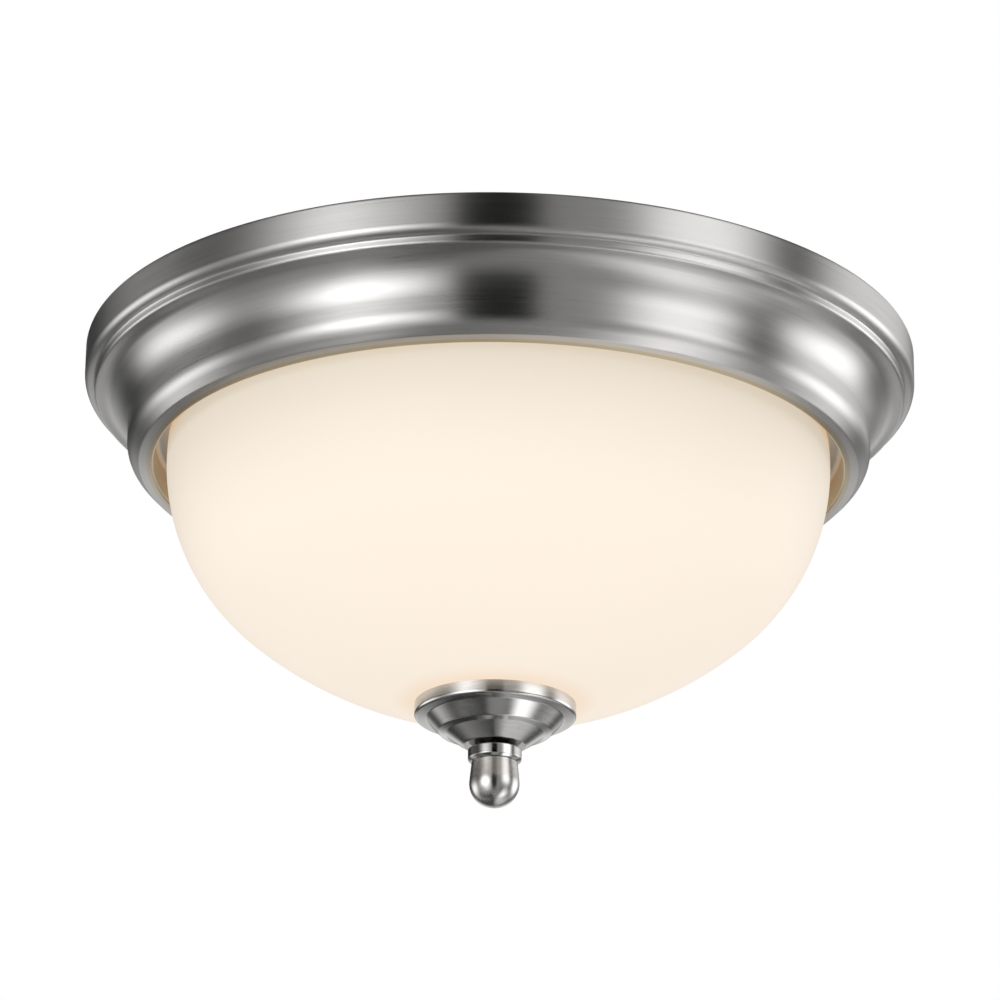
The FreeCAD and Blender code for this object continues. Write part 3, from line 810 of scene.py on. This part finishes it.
def makePan():
    points = sheetOutline(panPath(), panSheet["wall"])
    pan = turnedPiece("panSheet", points, finishes["brushed_nickel"], panSheet["segments"],
                      holes=holePairs(panSheet["wireHole"], panSheet["screwHole"]))
    fit(pan, "pan", "brushed_nickel", "ceiling_pan")


# The bowl: a side arc and a flatter bottom arc that meet tangent, with a round rim and a hole for the rod
bowlGlass = {
    "wall": 3.0,
    "rimDrop": 36.7,
    "bellyRadius": 131.3,
    "bellyDrop": 45.8,
    "sideSweep": 82.7,
    "bottomDrop": 146.4,
    "holeRadius": 8.0,
    "segments": 256,
    "sideSteps": 26,
    "bottomSteps": 30,
    "rimSteps": 9,
}


def bowlArcs(inset):
    g = bowlGlass
    sideCentre = g["bellyRadius"] - g["sideSweep"]
    depth = g["bottomDrop"] - g["bellyDrop"]
    sweep = (sideCentre ** 2 + depth ** 2 - g["sideSweep"] ** 2) / (2 * (depth - g["sideSweep"]))
    bottomCentre = sweep - g["bottomDrop"]
    side, bottom = g["sideSweep"] - inset, sweep - inset
    rim = math.asin((g["bellyDrop"] - g["rimDrop"] - g["wall"] / 2) / side)
    join = -math.atan2(bottomCentre + g["bellyDrop"], sideCentre)
    hole = -math.acos(g["holeRadius"] / bottom)
    upper = [(sideCentre + side * math.cos(a), -g["bellyDrop"] + side * math.sin(a))
             for a in np.linspace(rim, join, g["sideSteps"])]
    lower = [(bottom * math.cos(a), bottomCentre + bottom * math.sin(a))
             for a in np.linspace(join, hole, g["bottomSteps"])[1:]]
    return upper + lower


def makeBowl():
    outer, inner = bowlArcs(0), bowlArcs(bowlGlass["wall"])
    middle = (Vector(outer[0]) + Vector(inner[0])) / 2
    across = Vector(outer[0]) - middle
    rim = []
    for turn in np.linspace(0, math.pi, bowlGlass["rimSteps"])[1:-1]:
        c, s = math.cos(turn), math.sin(turn)
        rim.append((middle.x + c * across.x - s * across.y, middle.y + s * across.x + c * across.y))
    points = outer[::-1] + rim + inner
    bowl = turnedPiece("bowlGlass", points, finishes["opal_glass"], bowlGlass["segments"])
    fit(bowl, "bowl", "opal_glass", "glass_bowl")


# The stepped cap, then the collar and knob that screw up under it
rodRadius = 4.85
slipBore = 4.93
capSheet = {
    "wall": 1.0,
    "segments": 192,
    "path": [
        (31.5, -143.7, 0), (31.5, -148.9, 1.2), (27, -149.4, 0.5), (21.9, -154.8, 1.1),
        (19.2, -155.6, 0.5), (12.2, -160.4, 1.3), (slipBore, -160.4, 0),
    ],
}
collarSolid = [
    (slipBore, -160.7, 0), (7.6, -160.7, 0), (7.6, -162, 0), (10.4, -162, 0.5),
    (10.4, -166, 0.3), (9.5, -167, 0.2), (slipBore, -167, 0),
]
knobSolid = [
    (slipBore, -167, 0), (8.9, -167, 0.4), (10.74, -185, 9.3), (0, -185, 0),
    (0, -178.4, 0), (slipBore, -178.4, 0),
]


def makeFinial():
    points = sheetOutline(capSheet["path"], capSheet["wall"])
    cap = turnedPiece("capSheet", points, satinNickel, capSheet["segments"])
    fit(cap, "cap", "brushed_nickel", "finial_cap")
    collar = turnedPiece("collarRing", roundedOutline(collarSolid, True), finishes["polished_nickel"])
    knob = turnedPiece("knobTurning", knobOutline(), knobNickel)
    fit(collar, "finial", "polished_nickel", "finial_collar")
    fit(knob, "finial", "brushed_nickel", "finial_knob")


def knobOutline():
    # starts and ends on the axis: pole, blind end of the bore
    bore = knobSolid[4:]
    outside = knobSolid[:4]
    return roundedOutline(outside[::-1]) + [bore[1][:2], bore[0][:2]]


# The rod and the lamps: turned pieces with real threads, each lamp laid along X in its holder
rodThread = {
    "tip": -177.6,
    "top": -0.6,
    "bore": 2.6,
    "chamfer": 0.8,
    "pitch": 0.94,
    "depth": 0.36,
    "plainEnd": 0.3,
    "step": 0.2,
    "segments": 40,
}
lampPitch = 3.63
lampThread = {"pitch": lampPitch, "depth": 0.85, "low": 18, "high": 32.5}
shellThread = {"pitch": lampPitch, "depth": 0.45, "low": 12, "high": 33}
lampSpot = {"earX": 57.0, "axisY": 38.0, "drop": 72.0}
lampBase = {"wall": 0.3, "path": [(13.1, 35.5, 0), (13.1, 17.4, 1.2), (11.7, 15.8, 0)], "step": 0.3}
holderShell = {"wall": 0.4, "path": [(14.1, 37, 0), (14.1, 8, 1.4), (6.4, 8, 0)], "step": 0.4}
lampInsulator = [(0, 11.6, 0), (5.4, 11.6, 0.5), (11.2, 15.4, 0.5), (11.2, 16.4, 0), (0, 16.4, 0)]
lampTip = [(0, 10, 0), (4.4, 10, 0.9), (4.8, 11.6, 0), (0, 11.6, 0)]
lampGlobe = {
    "radius": 30.0,
    "middle": 86.0,
    "neck": 12.4,
    "foot": 29.5,
    "collar": 36.5,
    "flare": (15.4, 45.0, 12.0),
    "wall": 0.9,
    "steps": 34,
}
lampSegments = 72
lampSmooth = 50


def dividedRuns(points, step):
    # long runs cut into short ones, so a thread has points to move
    fine = [points[0]]
    for start, end in zip(points, points[1:]):
        count = max(1, round(math.dist(start, end) / step))
        for index in range(1, count + 1):
            share = index / count
            fine.append((start[0] + (end[0] - start[0]) * share, start[1] + (end[1] - start[1]) * share))
    return fine


def makeRod():
    look = rodThread
    tip, top, chamfer = look["tip"], look["top"], look["chamfer"]
    edge = rodRadius - chamfer
    outside = [(edge, top), (rodRadius, top - chamfer), (rodRadius, tip + chamfer), (edge, tip)]
    points = dividedRuns(outside, look["step"]) + [(look["bore"], tip), (look["bore"], top)]
    thread = {**look, "low": tip + look["plainEnd"], "high": top - look["plainEnd"]}
    rod = turnedPiece("threadedRod", points, finishes["zinc_steel"], look["segments"], thread)
    fit(rod, "pan", "zinc_steel", "centre_rod")


def lampPlaces():
    lay = Matrix.Translation(Vector((-lampSpot["earX"], lampSpot["axisY"], -lampSpot["drop"])) * mm)
    first = lay @ Matrix.Rotation(math.pi / 2, 4, "Y")
    return {1: first, 2: Matrix.Rotation(math.pi, 4, "Z") @ first}


def globeOutline(inset):
    g = lampGlobe
    bulge, flare = g["radius"] - inset, (g["flare"][0] - inset, g["flare"][1])
    rise = g["middle"] - flare[1]
    away = math.hypot(flare[0], rise)
    tangent = math.asin(bulge / away) + math.atan2(flare[0], rise)
    neck = roundedOutline([
        (g["neck"] - inset, g["foot"], 0), (g["neck"] - inset, g["collar"], 2.0), (*flare, g["flare"][2]),
        (bulge * math.cos(tangent), g["middle"] - bulge * math.sin(tangent), 0),
    ])
    crown = [(bulge * math.cos(a), g["middle"] + bulge * math.sin(a))
             for a in np.linspace(-tangent, math.pi / 2, g["steps"])]
    crown[-1] = (0.0, crown[-1][1])
    return neck + crown[1:]


def threadedSheet(sheet):
    # both sides of a rolled sheet, cut fine enough for its thread
    outside = roundedOutline(sheet["path"])
    inside = roundedOutline(sideStep(sheet["path"], sheet["wall"]))[::-1]
    return dividedRuns(outside, sheet["step"]) + dividedRuns(inside, sheet["step"])


def lampPiece(name, points, slot, place, thread=None):
    return turnedPiece(name, points, finishes[slot], lampSegments, thread, place, smoothTo=lampSmooth)


def makeLamps():
    globe = globeOutline(0)[::-1] + globeOutline(lampGlobe["wall"])
    base, shell = threadedSheet(lampBase), threadedSheet(holderShell)
    for number, place in lampPlaces().items():
        lamp, ride = f"lamp_{number}_", f"lamp_{number}"
        for kind, points, slot, thread in (
            ("globe", globe, "frosted_glass", None),
            ("base", base, "lamp_aluminium", lampThread),
            ("insulator", roundedOutline(lampInsulator), "black_glass", None),
            ("tip", roundedOutline(lampTip), "solder", None),
        ):
            piece = lampPiece(f"lamp{number}{kind.title()}", points, slot, place, thread)
            fit(piece, ride, slot, lamp + kind)
        holder = lampPiece(f"holder{number}Shell", shell, "brass", place, shellThread)
        fit(holder, "pan", "brass", f"socket_{number}_shell")


# Soft pieces, with wool grown on them: the glass fibre mat over the deck and the felt ring in the cap
matPad = {
    "path": [(14, -35.1, 0.6), (14, -27.1, 2.0), (108, -27.1, 2.6), (108, -35.1, 0.8)],
    "wireHole": {"radius": 13, "at": wireSpot, "from": -37, "to": -26},
    "screwHole": {"radius": 6, "at": screwSpot, "from": -37, "to": -26},
    "segments": 160,
    "wool": {"grid": 1.5, "depth": 0.7, "lumps": 14.0, "fibres": 3.5},
}
feltRing = {
    "path": [
        (26.4, -148.15, 0.3), (26.4, -145.6, 0.3), (30.45, -144.4, 0.3), (30.45, -147.35, 0.6),
        (29.6, -148.15, 0.3),
    ],
    "wool": {"grid": 0.35, "depth": 0.09, "lumps": 3.0, "fibres": 0.9},
}


def makeSoftPieces():
    holes = holePairs(matPad["wireHole"], matPad["screwHole"])
    pad = turnedPiece("fibreMat", roundedOutline(matPad["path"], True), finishes["heat_pad"],
                      matPad["segments"], holes=holes, wool=matPad["wool"])
    fit(pad, "pan", "heat_pad", "insulation_pad")
    felt = turnedPiece("feltRing", roundedOutline(feltRing["path"], True), finishes["white_felt"],
                       wool=feltRing["wool"])
    fit(felt, "cap", "white_felt", "cap_gasket")


def finishCadNodes():
    # the CAD pieces whose shape is right keep it, and get the finish of their slot
    for row in frame["record"]["subparts"]:
        piece = nodes[row["node"]]
        if not piece.hide_render:
            for place in piece.material_slots:
                place.material = finishes[row["material_slot"]]


makePan()
makeBowl()
makeFinial()
makeRod()
makeLamps()
makeSoftPieces()
finishCadNodes()
print("pieces made")


# Studio: a tent of soft panels that only light and reflections see, with a dark gap where the camera stands
studio = {
    "radius": 6.0,
    "across": 360,
    "down": 120,
    "pole": 89.5,
    "base": 0.02,
    # each panel: azimuth from the camera's side, half width, lowest and highest elevation, level
    "panels": {
        "leftFront": (-50, 15, -10, 5, 2.6),
        "leftFrontTop": (-40, 15, -10, 10, 2.4),
        "leftFrontFoot": (-35, 15, -40, 10, 1.2),
        "leftFill": (-65, 25, -50, 5, 0.45),
        "leftBack": (-110, 18, -24, 0, 2.4),
        "leftBackFoot": (-125, 10, -90, -35, 0.4),
        "back": (180, 24, -18, 0, 1.3),
        "cameraFill": (5, 30, -95, 85, 0.3),
        "rightFront": (55, 17, -8, 32, 2.3),
        "rightFoot": (75, 20, -80, -40, 2.2),
        "rightBack": (112, 18, -20, 15, 2.6),
        "rightBackTop": (142, 10, 10, 25, 1.4),
        "rightBackFoot": (144, 32, -80, -40, 0.8),
    },
    "panelEdges": (4, 5),
    "gap": {"left": -13, "right": 11, "lowest": -41, "highest": 95, "edges": (1, 4), "depth": 1.0},
    "steepest": 60,  # keeps exp() within its range
}


def softBand(value, low, high, edge):
    limit = studio["steepest"]
    rising = 1 / (1 + np.exp(-np.clip((value - low) / edge, -limit, limit)))
    return rising / (1 + np.exp(np.clip((value - high) / edge, -limit, limit)))


def tentLevel(azimuth, elevation):
    sideEdge, heightEdge = studio["panelEdges"]
    level = studio["base"] + 0 * azimuth
    for centre, half, low, high, strength in studio["panels"].values():
        beside = (azimuth - centre + 180) % 360 - 180
        panel = softBand(beside, -half, half, sideEdge) * softBand(elevation, low, high, heightEdge)
        level = level + strength * panel
    gap = studio["gap"]
    sideEdge, heightEdge = gap["edges"]
    shade = softBand(azimuth, gap["left"], gap["right"], sideEdge)
    shade = shade * softBand(elevation, gap["lowest"], gap["highest"], heightEdge)
    return level * (1 - gap["depth"] * shade)


def tentMesh():
    across, down = studio["across"], studio["down"]
    azimuths = np.linspace(-180, 180, across, endpoint=False)
    heights = np.linspace(-studio["pole"], studio["pole"], down)
    a, e = np.meshgrid(azimuths, heights)
    ar, er = np.radians(a), np.radians(e)
    spots = np.stack([np.cos(er) * np.sin(ar), -np.cos(er) * np.cos(ar), np.sin(er)], -1) * studio["radius"]
    faces = []
    for row in range(down - 1):
        for column in range(across):
            beside = (column + 1) % across
            faces.append((row * across + column, (row + 1) * across + column,
                          (row + 1) * across + beside, row * across + beside))
    mesh = bpy.data.meshes.new("studioTent")
    mesh.from_pydata(spots.reshape(-1, 3).tolist(), [], faces)
    level = mesh.attributes.new("level", "FLOAT", "POINT")
    level.data.foreach_set("value", tentLevel(a, e).astype(np.float32).ravel())
    return mesh


def tentGlow():
    finish = bpy.data.materials.new("tentGlow")
    finish.use_nodes = True
    tree = finish.node_tree
    tree.nodes.clear()
    glow = addNode(tree, "ShaderNodeEmission")
    level = addNode(tree, "ShaderNodeAttribute", attribute_name="level")
    feed(tree, glow.inputs["Strength"], level.outputs["Fac"])
    feed(tree, addNode(tree, "ShaderNodeOutputMaterial").inputs["Surface"], glow.outputs[0])
    finish.cycles.emission_sampling = "NONE"
    return finish


def makeTent():
    mesh = tentMesh()
    mesh.materials.append(tentGlow())
    tent = bpy.data.objects.new("studioTent", mesh)
    scene.collection.objects.link(tent)
    tent.visible_camera = False
    tent.visible_shadow = False


floorLook = {
    "half": 1.6,
    "height": -2.4,
    "cloud": 3.0,
    "tones": ((0.8, 0.8, 0.79, 1), (0.84, 0.84, 0.83, 1)),
    "roughness": 0.7,
}


def makeFloor():
    half, height = floorLook["half"], floorLook["height"]
    corners = [(-half, -half, height), (half, -half, height), (half, half, height), (-half, half, height)]
    mesh = bpy.data.meshes.new("studioFloor")
    mesh.from_pydata(corners, [], [(0, 1, 2, 3)])
    floor = bpy.data.objects.new("studioFloor", mesh)
    scene.collection.objects.link(floor)
    finish, tree, shader = newFinish("paleFloor", Roughness=floorLook["roughness"])
    cloud = useGroup(tree, clouds, Scale=floorLook["cloud"])["Cloud"]
    feed(tree, shader.inputs["Base Color"], tint(tree, cloud, *floorLook["tones"]))
    mesh.materials.append(finish)
    floor.visible_glossy = False


worldLevel = {"lighting": 0.5, "seen": 1.0}


def makeWorld():
    # white to the camera and in reflections, and dimmer as light on the piece
    world = bpy.data.worlds.new("studioWorld")
    scene.world = world
    world.use_nodes = True
    tree = world.node_tree
    back = tree.nodes["Background"]
    path = addNode(tree, "ShaderNodeLightPath").outputs
    mirrored = calc(tree, "MAXIMUM", path["Is Glossy Ray"], path["Is Transmission Ray"])
    seen = calc(tree, "MAXIMUM", path["Is Camera Ray"], mirrored)
    feed(tree, back.inputs["Color"], (1, 1, 1, 1))
    level = spread(tree, seen, 0.0, 1.0, worldLevel["lighting"], worldLevel["seen"])
    feed(tree, back.inputs["Strength"], level)


photoView = {
    "aim": (0.0, 0.0, -0.05),
    "distance": 1.85,
    "below": 21.24,
    "roll": 0.75,
    "lens": 168.07,
    "sensor": 36.0,
    "shift": (0.0017, -0.0192),
    "farthest": 100.0,
}


def makeCamera():
    rise = math.radians(photoView["below"])
    tilt = math.radians(photoView["roll"])
    forward = Vector((0, math.cos(rise), math.sin(rise)))
    right, up = Vector((1, 0, 0)), Vector((0, -math.sin(rise), math.cos(rise)))
    c, s = math.cos(tilt), math.sin(tilt)
    axes = (right * c + up * s, up * c - right * s, -forward)
    camera = bpy.data.cameras.new("photoCamera")
    camera.sensor_width = photoView["sensor"]
    camera.lens = photoView["lens"]
    camera.shift_x, camera.shift_y = photoView["shift"]
    camera.clip_end = photoView["farthest"]
    holder = bpy.data.objects.new("photoCamera", camera)
    place = Vector(photoView["aim"]) - forward * photoView["distance"]
    holder.matrix_world = Matrix.Translation(place) @ Matrix(axes).transposed().to_4x4()
    scene.collection.objects.link(holder)
    scene.camera = holder


makeTent()
makeFloor()
makeWorld()
makeCamera()
scene.view_settings.view_transform = "Standard"
print("studio ready")
